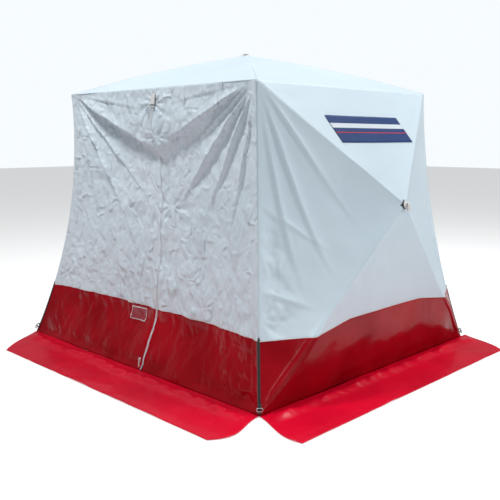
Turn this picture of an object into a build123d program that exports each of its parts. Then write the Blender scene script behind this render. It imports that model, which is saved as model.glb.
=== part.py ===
from build123d import *
import os
from math import asin, cos, degrees, radians, sin, sqrt

# Hub-style pop-up ice fishing shelter, in millimetres.
# The origin is on the ground at the middle of the shelter, +Z is up, +X is the
# right wall and -Y is the door wall.

# Overall shape
base_x = 1150.0            # half length of the base, along X
base_y = 1045.0            # half width of the base, along Y
eave_x = 906.0             # half length between the top corners
eave_y = 824.0             # half width between the top corners
eave_z = 1716.0            # height of the top corners
roof_rise = 266.0          # roof hub above the top corners
wall_pop = 305.0           # how far a wall hub stands out of its wall's plane
hub_climb = 1001.0         # wall hub's place up the slope of its wall
skirt_z = 360.0            # top of the skirt at the corners
seam_levels = [eave_z, 1250.0, 800.0, skirt_z, 3.0]
seam_pull = [0.0, 45.0, 70.0, 50.0, 0.0]      # corner seam pulled inwards at each level
door_sag = [0.0, 50.0, 85.0, 75.0, 0.0]       # slack door cloth hangs inwards at each level
zip_top_x = 30.0
zip_foot_x = 130.0
fold_foot = 90.0           # the door's fold line meets the ground this far from the corner

# Cloth and webbing
cloth = 1.2                # thickness of every sewn panel
sew_gap = 2.5              # each panel stops this far from its seam line
flap_x = 360.0             # width of the ground flaps on the walls facing X
flap_y = 375.0             # width of the ground flaps on the walls facing Y
flap_cut = 150.0           # the ends of the ground flaps are cut back on the slant

# Hubs and rods
hub_r = 46.0
hub_deck = 22.0            # rod pivots sit this far inside the cloth
hub_floor = 31.0           # inner face of the hub spider, inside the cloth
pivot_r = 32.0             # radius of the rod pivots round the hub
slot_w = 10.6
pin_r = 3.0
pin_len = 26.0
pin_fit = 0.05             # running clearance of the rod eyes on their pins
rod_r = 5.5
eye_w = 10.2
cap_r = 21.0
cap_h = 9.0
loop_l = 46.0              # webbing pull loop of a wall hub
loop_d = 16.0
loop_w = 18.0
loop_t = 2.0
cloth_hole = 38.0          # cloth panels stop this far from the hub along their seams

# Corner fittings, which take the rod tips in open forks
core_r = 17.0
core_inset = 44.0          # core centre from the cloth corner, along each of X, Y and Z
fork_start = 8.0
fork_end = 92.0
tip_stop = 24.0            # nearest a swinging rod tip comes to the core centre
fork_gap = 1.2
cheek = 2.4
cheek_h = 20.0

os.makedirs("parts", exist_ok=True)


def save(piece, node):
    """Label a finished sub-part and write its STEP file."""
    piece.part.label = node
    export_step(piece.part, f"parts/{node}.step")


def half_x(z):
    """Half length of the straight-sided frustum at height z."""
    return base_x + (eave_x - base_x) * z / eave_z


def half_y(z):
    """Half width of the straight-sided frustum at height z."""
    return base_y + (eave_y - base_y) * z / eave_z


def seam_points(sx, sy):
    """Points down one corner seam, from the top corner to the ground."""
    return [
        Vector(sx * (half_x(z) - pull), sy * (half_y(z) - pull), z)
        for z, pull in zip(seam_levels, seam_pull)
    ]


def panel_plane(points, inside):
    """Plane of a flat panel whose normal points away from a point inside the shelter."""
    first = points[0]
    normal = (points[1] - first).cross(points[-1] - first).normalized()
    if normal.dot(first - inside) < 0:
        normal = normal * -1
    return Plane(origin=first, x_dir=(points[1] - first).normalized(), z_dir=normal)


def flat_panels(outlines, inside=Vector(0, 0, 900), thickness=cloth, gap=sew_gap, proud=0.0):
    """One thin slab for each flat outline, its outer face on the outline's plane."""
    with BuildPart() as panels:
        for outline in outlines:
            plane = panel_plane(outline, inside)
            flat = [plane.to_local_coords(point) for point in outline]
            with BuildSketch(plane.offset(proud)):
                with BuildLine():
                    Polyline(*[(point.X, point.Y) for point in flat], close=True)
                make_face()
                if gap > 0:
                    offset(amount=-gap, kind=Kind.INTERSECTION)
            extrude(amount=-thickness)
    return panels


def along(start, end, distance):
    """Point at a distance from start towards end."""
    return start + (end - start).normalized() * distance


def at_height(start, end, z):
    """Point of the line from start to end at height z."""
    return start + (end - start) * ((z - start.Z) / (end.Z - start.Z))


def trimmed(hub, left, right):
    """Triangle from a hub with the tip cut off where the hub's cap passes."""
    return [along(hub, left, cloth_hole), left, right, along(hub, right, cloth_hole)]


# ---------------------------------------------------------------- hub walls
class Wall:
    """A wall or roof with a hub: its outward normal, hub place, pop height and seams."""

    def __init__(self, name, normal, hub, pop, seams):
        self.name = name
        self.normal = normal
        self.hub = hub
        self.pop = pop
        self.seams = seams


def side_wall(name, axis, sign):
    """Wall facing +X, -X or +Y, with its hub popped out of the wall's plane."""
    foot = base_x if axis == "X" else base_y
    top = eave_x if axis == "X" else eave_y
    slope = sqrt(eave_z**2 + (foot - top) ** 2)
    out = eave_z / slope
    lean = (foot - top) / slope
    reach = foot - lean * hub_climb + out * wall_pop
    height = out * hub_climb + lean * wall_pop
    if axis == "X":
        normal = Vector(sign * out, 0, lean)
        hub = Vector(sign * reach, 0, height)
        seams = [seam_points(sign, -1), seam_points(sign, 1)]
    else:
        normal = Vector(0, sign * out, lean)
        hub = Vector(0, sign * reach, height)
        seams = [seam_points(-1, sign), seam_points(1, sign)]
    return Wall(name, normal, hub, wall_pop, seams)


walls = [side_wall("right", "X", 1), side_wall("back", "Y", 1), side_wall("left", "X", -1)]
peak = Vector(0, 0, eave_z + roof_rise)
roof = Wall("roof", Vector(0, 0, 1), peak, roof_rise, [])
eaves = [
    Vector(eave_x, -eave_y, eave_z),
    Vector(eave_x, eave_y, eave_z),
    Vector(-eave_x, eave_y, eave_z),
    Vector(-eave_x, -eave_y, eave_z),
]

# Roof canopy: four gores from the eaves to the roof hub.
roof_gores = [trimmed(peak, eaves[i], eaves[(i + 1) % 4]) for i in range(4)]
roof_canopy = flat_panels(roof_gores)
save(roof_canopy, "roof_canopy")

# Each hub wall: a top gore, a bottom gore and two side gores that follow the
# concave corner seams. The skirt is the strip below skirt_z.
skirt_outlines = []
for wall in walls:
    cloth_outlines = []
    hub = wall.hub
    cloth_outlines.append(trimmed(hub, wall.seams[0][0], wall.seams[1][0]))
    feet = [seam[-1] for seam in wall.seams]
    crease = [at_height(hub, foot, skirt_z) for foot in feet]
    cloth_outlines.append(trimmed(hub, crease[0], crease[1]))
    skirt_outlines.append([crease[0], feet[0], feet[1], crease[1]])
    for seam, crease_point, foot in zip(wall.seams, crease, feet):
        cloth_outlines.append(trimmed(hub, seam[0], seam[1]))
        cloth_outlines.append(trimmed(hub, seam[1], seam[2]))
        cloth_outlines.append(trimmed(hub, seam[2], seam[3]))
        cloth_outlines.append(trimmed(hub, seam[3], crease_point))
        skirt_outlines.append([crease_point, seam[3], foot])
    save(flat_panels(cloth_outlines), f"{wall.name}_wall")

# ---------------------------------------------------------------- door wall
zip_line = []
for z, sag in zip(seam_levels, door_sag):
    across = zip_top_x + (zip_foot_x - zip_top_x) * (1 - z / eave_z)
    zip_line.append(Vector(across, -(half_y(z) - sag), z))


def fold_points(side):
    """Points down the line that one half of the door folds back along."""
    points = []
    foot = side * (base_x - fold_foot)
    for z, pull, sag in zip(seam_levels, seam_pull, door_sag):
        share = 1 - z / eave_z
        across = zip_top_x + (foot - zip_top_x) * share
        inwards = sag * (1 - share) + pull * share
        points.append(Vector(across, -(half_y(z) - inwards), z))
    return points


for side, name in ((1, "right"), (-1, "left")):
    seam = seam_points(side, -1)
    fold = fold_points(side)
    fixed = [[zip_line[0], seam[0], seam[1]], [zip_line[0], seam[1], fold[1]]]
    moving = [[zip_line[0], fold[1], zip_line[1]]]
    for level in (1, 2):
        fixed.append([fold[level], seam[level], seam[level + 1]])
        fixed.append([fold[level], seam[level + 1], fold[level + 1]])
        moving.append([zip_line[level], fold[level], fold[level + 1]])
        moving.append([zip_line[level], fold[level + 1], zip_line[level + 1]])
    skirt_outlines.append([fold[3], seam[3], seam[4]])
    skirt_outlines.append([fold[3], seam[4], fold[4]])
    moving_skirt = [[zip_line[3], fold[3], zip_line[4]], [fold[3], fold[4], zip_line[4]]]
    save(flat_panels(fixed), f"door_side_{name}")
    save(flat_panels(moving, gap=5.5), f"door_flap_{name}")
    save(flat_panels(moving_skirt, gap=5.5), f"door_skirt_{name}")

save(flat_panels(skirt_outlines), "wall_skirts")

# Zip: one chain half on each side of the zip line, and the slider at its foot.
chain_t = 2.0
chain_w = 4.0
chain_lift = 1.4
chain_gap = 0.5
for side, name in ((1, "right"), (-1, "left")):
    strips = []
    for upper, lower in zip(zip_line[:-1], zip_line[1:]):
        run = (lower - upper).normalized()
        over = upper + run * (6.0 if upper.Z < eave_z else 30.0)
        under = lower - run * (6.0 if lower.Z > skirt_z / 2 else 60.0)
        inner = Vector(side * chain_gap, 0, 0)
        outer = Vector(side * (chain_gap + chain_w), 0, 0)
        strips.append([over + inner, over + outer, under + outer, under + inner])
    chain = flat_panels(strips, thickness=chain_t, gap=0, proud=chain_lift + chain_t)
    save(chain, f"zip_chain_{name}")

# ---------------------------------------------------------------- ground flaps
flap_t = 1.6
eyelet_r = 6.0
eyelet_wall = 2.5
eyelet_lean = 12.0         # degrees that a stake leans outwards
eyelet_out = 36.0          # eyelet centre, outside the foot of its wall
flap_edge = 3.0            # the flaps start this far outside the foot of the walls
outer_x = base_x + flap_x
outer_y = base_y + flap_y
flaps = {
    "right": [(base_x + flap_edge, -base_y), (outer_x, -base_y - 85), (outer_x, base_y - 105),
              (base_x + flap_edge, base_y + 60)],
    "door": [(-base_x, -base_y - flap_edge), (-base_x + 280, -outer_y), (base_x + 15, -outer_y),
             (base_x - 5, -base_y - flap_edge)],
    "left": [(-base_x - flap_edge, base_y), (-outer_x, base_y - flap_cut), (-outer_x, -base_y + 345),
             (-base_x - flap_edge, -base_y)],
    "back": [(base_x, base_y + flap_edge), (base_x - 345, outer_y), (-base_x + flap_cut, outer_y),
             (-base_x, base_y + flap_edge)],
}
eyelets = {
    "right": (base_x + eyelet_out, 0),
    "door": (-400, -base_y - eyelet_out),
    "left": (-base_x - eyelet_out, 0),
    "back": (0, base_y + eyelet_out),
}
for name, outline in flaps.items():
    with BuildPart() as ground_flap:
        with BuildSketch(Plane.XY):
            with BuildLine():
                Polyline(*outline, close=True)
            make_face()
            with Locations(eyelets[name]):
                Circle(eyelet_r + eyelet_wall + 0.1, mode=Mode.SUBTRACT)
        extrude(amount=flap_t)
    save(ground_flap, f"{name}_ground_flap")

with BuildPart() as stake_eyelets:
    for place in eyelets.values():
        with BuildSketch(Plane.XY):
            with Locations(place):
                Circle(eyelet_r + eyelet_wall)
        extrude(amount=4.0)
        with BuildSketch(Plane.XY.offset(flap_t + 0.4)):
            with Locations(place):
                Circle(eyelet_r + 2 * eyelet_wall + 1)
        extrude(amount=2.0)
    # The bores lean outwards, so that a stake clears the popped hub above it.
    for x, y in eyelets.values():
        side = (0, 1) if abs(y) > abs(x) or y < -base_y else (1, 0)
        lean = Vector(side[0] * (1 if x > 0 else -1), side[1] * (1 if y > 0 else -1), 0)
        lean = lean * sin(radians(eyelet_lean))
        lean = lean + Vector(0, 0, cos(radians(eyelet_lean)))
        with BuildSketch(Plane(origin=Vector(x, y, 2) - lean * 8, z_dir=lean)):
            Circle(eyelet_r)
        extrude(amount=16, mode=Mode.SUBTRACT)
save(stake_eyelets, "stake_eyelets")

# ---------------------------------------------------------------- hubs and rods


def corner_core(corner, below=True):
    """Centre of a corner fitting, set in from the cloth corner along X, Y and Z."""
    lift = -core_inset if below else core_inset
    inward_x = -core_inset if corner.X > 0 else core_inset
    inward_y = -core_inset if corner.Y > 0 else core_inset
    return corner + Vector(inward_x, inward_y, lift)


forks = []


class Rod:
    """A rod of one hub: its direction in the hub's plane, pivot, length and rest angle."""

    def __init__(self, wall, core, name):
        centre = wall.hub - wall.normal * hub_deck
        reach = core - centre
        drop = -reach.dot(wall.normal)
        flat = reach + wall.normal * drop
        self.name = name
        self.out = flat.normalized()
        self.side = wall.normal.cross(self.out)
        self.normal = wall.normal
        self.pivot = centre + self.out * pivot_r
        # At rest the tip lies level with the core; it comes nearest to the core
        # when the rod passes through the hub's plane.
        self.length = flat.length - pivot_r - tip_stop
        self.angle = asin(drop / self.length)
        self.turn = self.angle + asin((2 * wall.pop - drop) / self.length)
        forks.append((core, self.out * -1, self.side, self.normal))


all_walls = walls + [roof]
top_cores = [corner_core(corner) for corner in eaves]
foot_core_z = 36.0
foot_corners = [
    Vector(base_x, -base_y, 0),
    Vector(base_x, base_y, 0),
    Vector(-base_x, base_y, 0),
    Vector(-base_x, -base_y, 0),
]
foot_cores = [
    Vector(
        corner.X - (52 if corner.X > 0 else -52),
        corner.Y - (52 if corner.Y > 0 else -52),
        foot_core_z,
    )
    for corner in foot_corners
]
rod_cores = {
    "right": [top_cores[0], top_cores[1], foot_cores[1], foot_cores[0]],
    "back": [top_cores[1], top_cores[2], foot_cores[2], foot_cores[1]],
    "left": [top_cores[2], top_cores[3], foot_cores[3], foot_cores[2]],
    "roof": [top_cores[0], top_cores[1], top_cores[2], top_cores[3]],
}
travels = {}
for wall in all_walls:
    rods = [
        Rod(wall, core, f"{wall.name}_rod_{number + 1}")
        for number, core in enumerate(rod_cores[wall.name])
    ]
    centre = wall.hub
    profile = Plane(origin=centre, x_dir=rods[0].out, z_dir=rods[0].side * -1)

    # Hub spider: a domed disc under the cloth with a slot and a clevis pin for each rod.
    with BuildPart() as hub_spider:
        with BuildSketch(profile):
            with BuildLine():
                Polyline(
                    (0, -hub_floor),
                    (hub_r, -hub_floor),
                    (hub_r, -hub_deck - 1),
                    (12, -5),
                    (5, -5),
                    (5, -0.5),
                    (0, -0.5),
                    close=True,
                )
            make_face()
        revolve(axis=Axis(centre, wall.normal))
        for rod in rods:
            slot_plane = Plane(
                origin=centre - wall.normal * hub_deck, x_dir=rod.out, z_dir=wall.normal
            )
            with BuildSketch(slot_plane.offset(-20)):
                with Locations((pivot_r + 20, 0)):
                    Rectangle(56, slot_w)
            extrude(amount=40, mode=Mode.SUBTRACT)
            pin_plane = Plane(origin=rod.pivot, x_dir=rod.out, z_dir=rod.side)
            with BuildSketch(pin_plane.offset(-pin_len / 2)):
                Circle(pin_r + 0.02)
            extrude(amount=pin_len, mode=Mode.SUBTRACT)
    save(hub_spider, f"{wall.name}_hub_spider")

    with BuildPart() as hub_pins:
        for rod in rods:
            pin_plane = Plane(origin=rod.pivot, x_dir=rod.out, z_dir=rod.side)
            with BuildSketch(pin_plane.offset(-pin_len / 2)):
                Circle(pin_r)
            extrude(amount=pin_len)
    save(hub_pins, f"{wall.name}_hub_pins")

    # Outer cap, screwed to the spider's neck through the point of the cloth.
    with BuildPart() as hub_cap:
        with BuildSketch(Plane(origin=centre, x_dir=rods[0].out, z_dir=wall.normal)):
            Circle(cap_r)
        extrude(amount=cap_h)
        fillet(edges().sort_by(Axis(centre, wall.normal))[-1:], cap_h / 2)
    save(hub_cap, f"{wall.name}_hub_cap")

    # Webbing pull loop under the cap's rim, hanging down the outside of the wall.
    if wall is not roof:
        up = (Vector(0, 0, 1) - wall.normal * wall.normal.Z).normalized()
        level = wall.normal.cross(up)
        loop_plane = Plane(origin=centre + wall.normal * (cap_h + 0.5), x_dir=up * -1, z_dir=level)
        with BuildPart() as pull_loop:
            with BuildSketch(loop_plane.offset(-loop_w / 2)):
                with Locations((loop_l / 2 - 10, loop_d / 2)):
                    RectangleRounded(loop_l, loop_d, loop_d / 2 - 0.1)
                    RectangleRounded(
                        loop_l - 2 * loop_t,
                        loop_d - 2 * loop_t,
                        loop_d / 2 - loop_t - 0.1,
                        mode=Mode.SUBTRACT,
                    )
            extrude(amount=loop_w)
        save(pull_loop, f"{wall.name}_pull_loop")

    # Rods: a fibreglass tube with a drilled flat eye on the hub's pin.
    for rod in rods:
        rest = rod.out * cos(rod.angle) - rod.normal * sin(rod.angle)
        across = rod.side
        eye_plane = Plane(origin=rod.pivot, x_dir=rest, z_dir=across)
        with BuildPart() as rod_part:
            with BuildSketch(Plane(origin=rod.pivot + rest * 18, x_dir=across, z_dir=rest)):
                Circle(rod_r)
            extrude(amount=rod.length - 18)
            with BuildSketch(eye_plane.offset(-eye_w / 2)):
                Circle(5.6)
                with Locations((12, 0)):
                    Rectangle(24, 9)
                Circle(pin_r + pin_fit, mode=Mode.SUBTRACT)
            extrude(amount=eye_w)
            with BuildSketch(Plane(origin=rod.pivot + rest * rod.length, x_dir=across, z_dir=rest)):
                Circle(rod_r)
            extrude(amount=-40)
        save(rod_part, rod.name)
        travels[rod.name] = (rod, wall)

# Corner fittings: a moulded ball with an open fork for each rod tip.
with BuildPart() as corner_fittings:
    for core in top_cores + foot_cores:
        with Locations(core):
            Cylinder(core_r, 2 * core_r)
    fillet(edges().filter_by(GeomType.CIRCLE), core_r / 3)
    for core, out, side, normal in forks:
        fork_plane = Plane(origin=core, x_dir=out, z_dir=side)
        for face in (1, -1):
            start = face * (rod_r + fork_gap)
            with BuildSketch(fork_plane.offset(start if face > 0 else start - cheek)):
                with Locations(((fork_start + fork_end) / 2, 0)):
                    Rectangle(fork_end - fork_start, cheek_h)
            extrude(amount=cheek)
save(corner_fittings, "corner_fittings")

# ---------------------------------------------------------------- trim
# Black webbing down each lower corner, over the seam of the skirt, with a pointed top.
webbing_w = 42.0
webbing_t = 2.0
webbing_top = 400.0
webbing_low = 14.0
webbing_lift = 2.0
ring_out = 18.0            # link pivots stand this far outside the corner seam
ring_z = 46.0
link_r = 9.0
link_flat = 16.0
wire_r = 2.2
loop_wall = 1.6
tail_l = 9.5
with BuildPart() as corner_webbing:
    for sx, sy in ((1, -1), (1, 1), (-1, 1), (-1, -1)):
        seam = seam_points(sx, sy)
        foot = seam[-1]
        run = (seam[3] - foot).normalized()
        across = Vector(-sy, sx, 0).normalized()
        outward = run.cross(across).normalized()
        if outward.dot(Vector(sx, sy, 0)) < 0:
            outward = outward * -1
        strip = Plane(origin=foot + outward * webbing_lift, x_dir=across, z_dir=outward)
        up_sign = 1 if strip.y_dir.Z > 0 else -1
        with BuildSketch(strip):
            with BuildLine():
                Polyline(
                    (-webbing_w / 2, up_sign * webbing_low),
                    (webbing_w / 2, up_sign * webbing_low),
                    (webbing_w / 2, up_sign * (webbing_top - 26)),
                    (0, up_sign * webbing_top),
                    (-webbing_w / 2, up_sign * (webbing_top - 26)),
                    close=True,
                )
            make_face()
        extrude(amount=webbing_t)
        # A folded loop of webbing that holds the steel link.
        diagonal = Vector(sx, sy, 0).normalized()
        pivot = foot + run * (ring_z / run.Z) + diagonal * ring_out
        with BuildSketch(Plane(origin=pivot - across * 6, x_dir=diagonal, z_dir=across)):
            Circle(wire_r + loop_wall)
            with Locations((-tail_l / 2 - 2, 0)):
                Rectangle(tail_l, 2 * wire_r + 2 * loop_wall)
            Circle(wire_r + 0.25, mode=Mode.SUBTRACT)
        extrude(amount=12)
save(corner_webbing, "corner_webbing")

# Steel link hanging in a loop on each corner's webbing, for a stake or a guy line.
for sx, sy, name in ((1, -1, "front_right"), (1, 1, "back_right"), (-1, 1, "back_left"),
                     (-1, -1, "front_left")):
    diagonal = Vector(sx, sy, 0).normalized()
    across = Vector(-sy, sx, 0).normalized()
    seam = seam_points(sx, sy)
    run = (seam[3] - seam[-1]).normalized()
    foot_at = seam[-1] + run * (ring_z / run.Z)
    pivot = foot_at + diagonal * ring_out
    link = Plane(origin=pivot, x_dir=across, z_dir=diagonal)
    down = -1 if link.y_dir.Z > 0 else 1
    with BuildPart() as corner_ring:
        with BuildLine(link):
            Line((-link_flat / 2, 0), (link_flat / 2, 0))
            ThreePointArc(
                (link_flat / 2, 0),
                (link_flat / 2 + link_r, down * link_r),
                (link_flat / 2, down * 2 * link_r),
            )
            Line((link_flat / 2, down * 2 * link_r), (-link_flat / 2, down * 2 * link_r))
            ThreePointArc(
                (-link_flat / 2, down * 2 * link_r),
                (-link_flat / 2 - link_r, down * link_r),
                (-link_flat / 2, 0),
            )
        with BuildSketch(Plane(origin=pivot, x_dir=diagonal, z_dir=across)):
            Circle(wire_r)
        sweep()
    save(corner_ring, f"corner_ring_{name}")
    print("ring", name, "pivot", pivot, "axis", across)

# Strap tab over the top of the zip, sewn to the left half of the door.
door_out = panel_plane([zip_line[0], seam_points(1, -1)[-1], zip_line[-1]], Vector(0, 0, 900)).z_dir
tab_at = at_height(zip_line[0], zip_line[1], eave_z - 74)
tab_plane = Plane(
    origin=tab_at + door_out * 11.0 + Vector(6, 0, 0), x_dir=(1, 0, 0), z_dir=door_out
)
with BuildPart() as door_top_tab:
    with BuildSketch(tab_plane):
        Rectangle(40, 85)
    extrude(amount=2.0)
save(door_top_tab, "door_top_tab")

# Plain banner sewn on the right wall's top gore.
right = walls[0]
gore_plane = panel_plane([right.hub, right.seams[0][0], right.seams[1][0]], Vector(0, 0, 900))
banner_low, banner_high = 1391.0, 1543.0


def on_gore(y, z):
    """Point of the right wall's top gore at a given y and height."""
    normal = gore_plane.z_dir
    start = Vector(0, y, z)
    return start + Vector(1, 0, 0) * ((gore_plane.origin - start).dot(normal) / normal.X)


banner = [
    on_gore(-380, banner_high),
    on_gore(338, banner_high),
    on_gore(392, banner_low),
    on_gore(-322, banner_low),
]
save(flat_panels([banner], thickness=0.6, gap=0, proud=1.0), "wall_banner")

# Clear-faced pocket on the moving skirt, left of the zip.
pocket_top = at_height(zip_line[3], zip_line[4], 345.0)
pocket_low = at_height(zip_line[3], zip_line[4], 262.0)
pocket_shift = -270.0
pocket_width = 150.0


def beside_zip(point, reach):
    """Point of the left skirt beside a point of the zip line."""
    plane = panel_plane([zip_line[3], fold_points(-1)[3], zip_line[4]], Vector(0, 0, 900))
    start = point + Vector(reach, 0, 0)
    return start + Vector(0, 1, 0) * ((plane.origin - start).dot(plane.z_dir) / plane.z_dir.Y)


pocket = [
    beside_zip(pocket_top, pocket_shift),
    beside_zip(pocket_top, pocket_shift + pocket_width),
    beside_zip(pocket_low, pocket_shift + pocket_width),
    beside_zip(pocket_low, pocket_shift),
]
save(flat_panels([pocket], thickness=0.6, gap=0, proud=1.2), "door_pocket")

# Zip slider and its pull tab at the foot of the zip.
slider_up = 72.0
zip_foot = zip_line[-1]
zip_head = zip_line[0]
zip_run = (zip_head - zip_foot).normalized()
slider_at = zip_foot + zip_run * slider_up
slide_plane = Plane(origin=slider_at + door_out * 5.5, x_dir=zip_run, z_dir=door_out)
with BuildPart() as zip_slider:
    with BuildSketch(slide_plane):
        RectangleRounded(26, 13, 3)
    extrude(amount=5)
    with BuildSketch(slide_plane.offset(5)):
        with GridLocations(0, 7.2, 1, 2):
            Rectangle(8, 2.0)
    extrude(amount=5)
    with BuildSketch(Plane(origin=slide_plane.origin + door_out * 7.5, x_dir=zip_run,
                           z_dir=zip_run.cross(door_out))):
        Circle(0.8)
    extrude(amount=3.6, both=True)
save(zip_slider, "zip_slider")

pull_at = slide_plane.origin + door_out * 7.5
pull_side = zip_run.cross(door_out)
with BuildPart() as zip_pull:
    with BuildSketch(Plane(origin=pull_at, x_dir=zip_run * -1, z_dir=pull_side).offset(-2.2)):
        Circle(1.9)
        with Locations((4, 0)):
            Rectangle(8, 2.0)
        Circle(0.85, mode=Mode.SUBTRACT)
    extrude(amount=4.4)
    with BuildSketch(Plane(origin=pull_at, x_dir=zip_run * -1, z_dir=door_out).offset(-1)):
        with Locations((26, 0)):
            RectangleRounded(40, 9, 3)
    extrude(amount=2)
save(zip_pull, "zip_pull")

for wall in all_walls:
    print(wall.name, "hub", wall.hub, "normal", wall.normal, "travel", 2 * wall.pop)
for name, (rod, wall) in travels.items():
    print(name, "pivot", rod.pivot, "side", rod.side, "turn", degrees(rod.turn), "length", rod.length)
print("zip", slider_at, "run", zip_run, "length", (zip_head - zip_foot).length, "pull", pull_at, pull_side)
print("fold", [fold_points(side)[-1] for side in (1, -1)], "head", zip_line[0])
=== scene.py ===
from math import atan2, cos, exp, hypot, pi, radians, sin

import bmesh
import bpy
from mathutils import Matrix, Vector, noise


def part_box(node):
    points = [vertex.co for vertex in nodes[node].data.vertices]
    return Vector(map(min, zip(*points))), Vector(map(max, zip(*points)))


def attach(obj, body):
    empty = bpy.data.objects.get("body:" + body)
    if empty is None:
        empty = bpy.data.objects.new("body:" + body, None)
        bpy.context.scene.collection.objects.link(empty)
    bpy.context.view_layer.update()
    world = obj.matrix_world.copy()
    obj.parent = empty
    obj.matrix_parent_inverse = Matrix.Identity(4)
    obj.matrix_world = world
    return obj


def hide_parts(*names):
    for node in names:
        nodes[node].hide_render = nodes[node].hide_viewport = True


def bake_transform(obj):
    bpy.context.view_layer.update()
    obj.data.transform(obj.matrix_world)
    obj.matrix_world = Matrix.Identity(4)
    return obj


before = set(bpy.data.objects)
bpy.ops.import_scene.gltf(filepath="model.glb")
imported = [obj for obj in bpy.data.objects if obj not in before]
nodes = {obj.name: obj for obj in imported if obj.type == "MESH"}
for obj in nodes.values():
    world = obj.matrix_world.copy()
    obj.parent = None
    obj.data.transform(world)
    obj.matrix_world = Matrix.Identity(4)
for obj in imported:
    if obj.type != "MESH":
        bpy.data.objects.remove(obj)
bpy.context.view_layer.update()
scene = bpy.context.scene

# ---------------------------------------------------------------- camera and light
# A hand-held camera a little over a corner's reach away, looking at the near
# corner between the door wall and the right wall.
camera = bpy.data.objects.new("camera", bpy.data.cameras.new("camera"))
scene.collection.objects.link(camera)
camera.location = (3.506, -3.491, 1.405)
camera.rotation_euler = (radians(90 - 8.975), 0, radians(44.77))
camera.data.sensor_width = 36
camera.data.lens = 50.24
camera.data.clip_end = 200
scene.camera = camera

# Soft studio light: a pale surround, a big overhead panel and a weaker one that
# favours the right wall, so that the door wall is in open shade.
scene.view_settings.view_transform = "Standard"
world = bpy.data.worlds.new("studio")
scene.world = world
world.use_nodes = True
surround = world.node_tree.nodes["Background"]
surround.inputs["Color"].default_value = (0.93, 0.97, 1.0, 1)
seen = world.node_tree.nodes.new("ShaderNodeLightPath")
strength = world.node_tree.nodes.new("ShaderNodeMapRange")
world.node_tree.links.new(seen.outputs["Is Camera Ray"], strength.inputs["Value"])
strength.inputs["To Min"].default_value = 0.235
strength.inputs["To Max"].default_value = 1.0
world.node_tree.links.new(strength.outputs["Result"], surround.inputs["Strength"])


def panel_light(name, place, target, size, power):
    """A square area light at a place, facing a target."""
    lamp = bpy.data.lights.new(name, "AREA")
    lamp.size = size
    lamp.energy = power
    lamp_object = bpy.data.objects.new(name, lamp)
    scene.collection.objects.link(lamp_object)
    lamp_object.location = place
    aim = Vector(target) - Vector(place)
    lamp_object.rotation_euler = aim.to_track_quat("-Z", "Y").to_euler()
    return lamp_object


panel_light("overhead", (2.2, 2.2, 6.0), (0, 0, 1), 2.4, 200)
panel_light("right_side", (6.5, 2.2, 4.2), (0.5, 0, 1.0), 2.2, 105)
panel_light("near_corner", (5.6, -3.4, 4.2), (0.9, -0.6, 1.0), 2.0, 42)
panel_light("door_top", (-0.9, -2.7, 5.2), (0, -0.9, 0.9), 0.8, 150)

floor_mesh = bmesh.new()
bmesh.ops.create_grid(floor_mesh, x_segments=2, y_segments=2, size=30)
floor_data = bpy.data.meshes.new("floor")
floor_mesh.to_mesh(floor_data)
floor_mesh.free()
floor_object = bpy.data.objects.new("floor", floor_data)
scene.collection.objects.link(floor_object)
floor_object.location.z = -0.002

# ---------------------------------------------------------------- outline of the shelter
# The sewn shape: a four-sided frustum whose corner seams are drawn inwards by
# the cloth's tension, with a hub in the roof and in three of the walls.
base_x, base_y = 1.150, 1.045
eave_x, eave_y, eave_z = 0.906, 0.824, 1.716
roof_rise = 0.266
wall_pop = 0.305
hub_climb = 1.001
seam_pull = {(1, -1): 0.066, (1, 1): 0.050, (-1, 1): 0.068, (-1, -1): 0.082}
band_corner, band_middle = 0.362, 0.408
cloth_foot = 0.004


def corner_seam(side, z):
    """Point of a corner seam at height z. A side is the pair of signs of X and Y."""
    share = z / eave_z
    pull = seam_pull[side] * sin(pi * share) ** 0.85
    half_x = base_x + (eave_x - base_x) * share - pull
    half_y = base_y + (eave_y - base_y) * share - pull
    return Vector((side[0] * half_x, side[1] * half_y, z))


def wall_hub(axis, sign):
    """The point of the cloth at a wall's hub, and the wall's outward normal."""
    foot, top = (base_x, eave_x) if axis == 0 else (base_y, eave_y)
    slope = hypot(eave_z, foot - top)
    out, lean = eave_z / slope, (foot - top) / slope
    reach = foot - lean * hub_climb + out * wall_pop
    hub, normal = Vector((0, 0, 0)), Vector((0, 0, 0))
    hub[axis], hub.z = sign * reach, out * hub_climb + lean * wall_pop
    normal[axis], normal.z = sign * out, lean
    return hub, normal


# ---------------------------------------------------------------- how a finish is written
# Each finish is one Principled surface whose changing values are worked out by
# arithmetic on wires; fixed values are set on the surface's own sockets.
class Wire:
    """A shader value. Arithmetic on it adds Math nodes."""

    def __init__(self, finish, socket):
        self.finish = finish
        self.socket = socket

    def maths(self, operation, first, second):
        return self.finish.node("ShaderNodeMath", {"operation": operation}, {0: first, 1: second})

    def __add__(self, other):
        return self.maths("ADD", self, other)

    def __radd__(self, other):
        return self.maths("ADD", other, self)

    def __sub__(self, other):
        return self.maths("SUBTRACT", self, other)

    def __rsub__(self, other):
        return self.maths("SUBTRACT", other, self)

    def __mul__(self, other):
        return self.maths("MULTIPLY", self, other)

    def __rmul__(self, other):
        return self.maths("MULTIPLY", other, self)


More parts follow.
